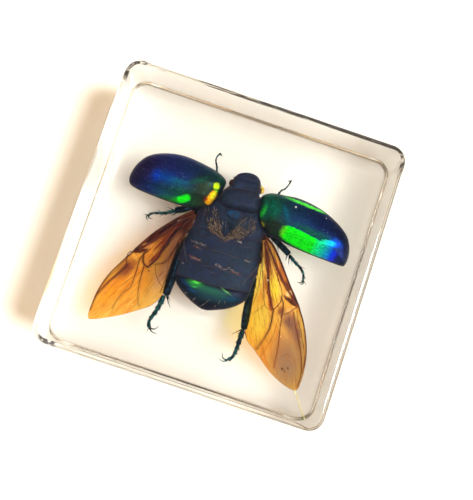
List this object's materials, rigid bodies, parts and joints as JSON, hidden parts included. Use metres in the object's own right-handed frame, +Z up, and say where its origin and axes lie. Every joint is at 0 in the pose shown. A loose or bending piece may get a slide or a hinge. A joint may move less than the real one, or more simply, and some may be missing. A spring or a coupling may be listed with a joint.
{
  "type": "insect in resin block",
  "caption": "Square clear resin block with a dried metallic green and blue beetle sealed inside, its wing cases and hind wings spread.",
  "frame": {"origin": "middle of the block's flat underside", "axes": "+Z up through the thickness of the block, X and Y along its sides, the beetle's head towards +Y"},
  "size_m": [0.045, 0.045, 0.018],
  "materials": {
    "clear_resin": "water-clear cast resin, polished on every face",
    "beetle_shell": "dark metallic blue-black chitin with green and violet sheen",
    "wing_case": "iridescent green to blue to violet, finely pitted and grooved",
    "hind_wing": "thin amber membrane with dark brown veins",
    "body_hair": "short golden brown hairs"
  },
  "bodies": {
    "root": {"resin_block": "clear_resin"}
  },
  "joints": []
}
